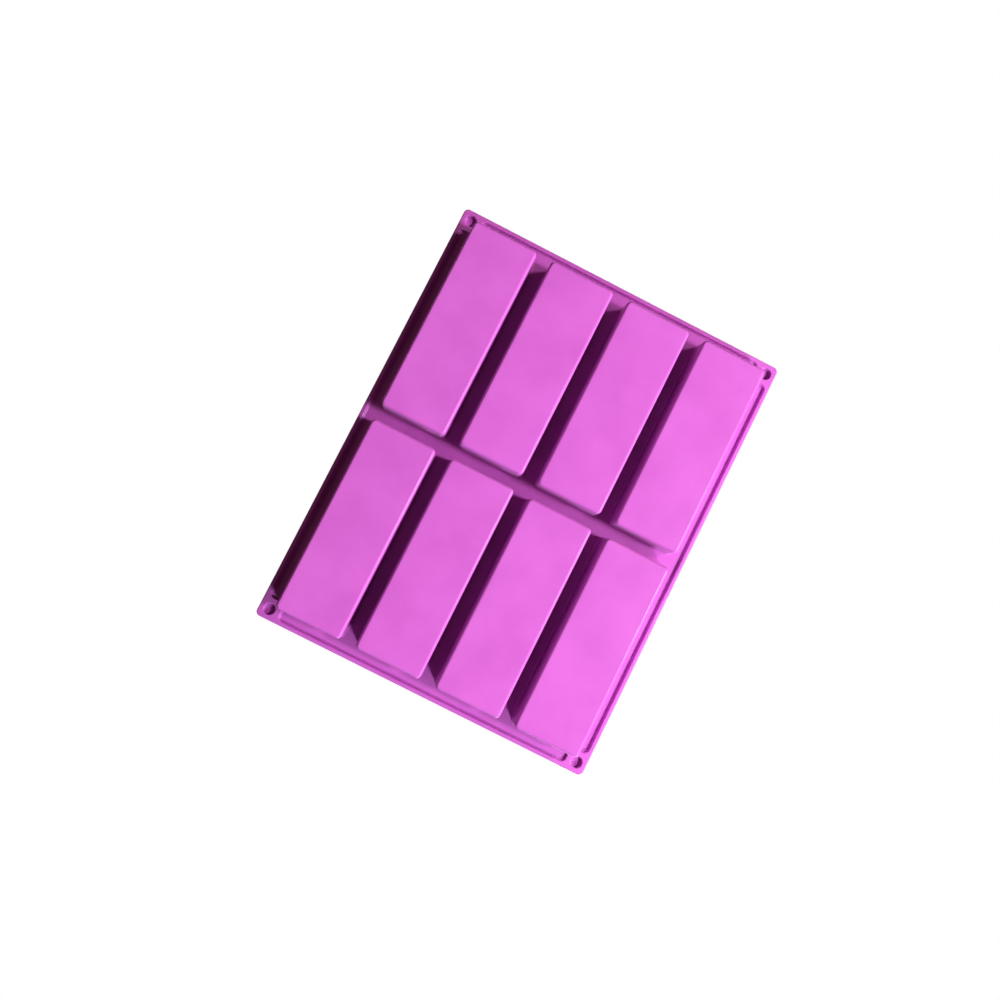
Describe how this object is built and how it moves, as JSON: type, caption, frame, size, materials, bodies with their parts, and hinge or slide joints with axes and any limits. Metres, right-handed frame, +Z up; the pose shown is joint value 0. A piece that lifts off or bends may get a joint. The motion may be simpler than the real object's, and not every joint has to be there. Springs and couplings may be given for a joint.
{
  "type": "bar soap mould",
  "caption": "Flat rectangular silicone mould: rows of deep rectangular bar cavities joined by a thin web, with a thicker rim and a blind round recess under each corner.",
  "frame": {"origin": "centre of the plane that the undersides of the cavity floors stand on", "axes": "+Z up, out of the cavity mouths; +X along the long side of the rim; +Y along its short side"},
  "size_m": [0.295, 0.2314, 0.025],
  "materials": {
    "silicone": "satin magenta-purple silicone rubber"
  },
  "bodies": {
    "root": {"deck_web": "silicone", "cavity_cup_left_1": "silicone", "cavity_cup_left_2": "silicone", "cavity_cup_left_3": "silicone", "cavity_cup_left_4": "silicone", "cavity_cup_right_1": "silicone", "cavity_cup_right_2": "silicone", "cavity_cup_right_3": "silicone", "cavity_cup_right_4": "silicone", "rim_rail_front": "silicone", "rim_rail_right": "silicone", "rim_rail_back": "silicone", "rim_rail_left": "silicone", "corner_boss_front_left": "silicone", "corner_boss_front_right": "silicone", "corner_boss_back_right": "silicone", "corner_boss_back_left": "silicone"}
  },
  "joints": []
}
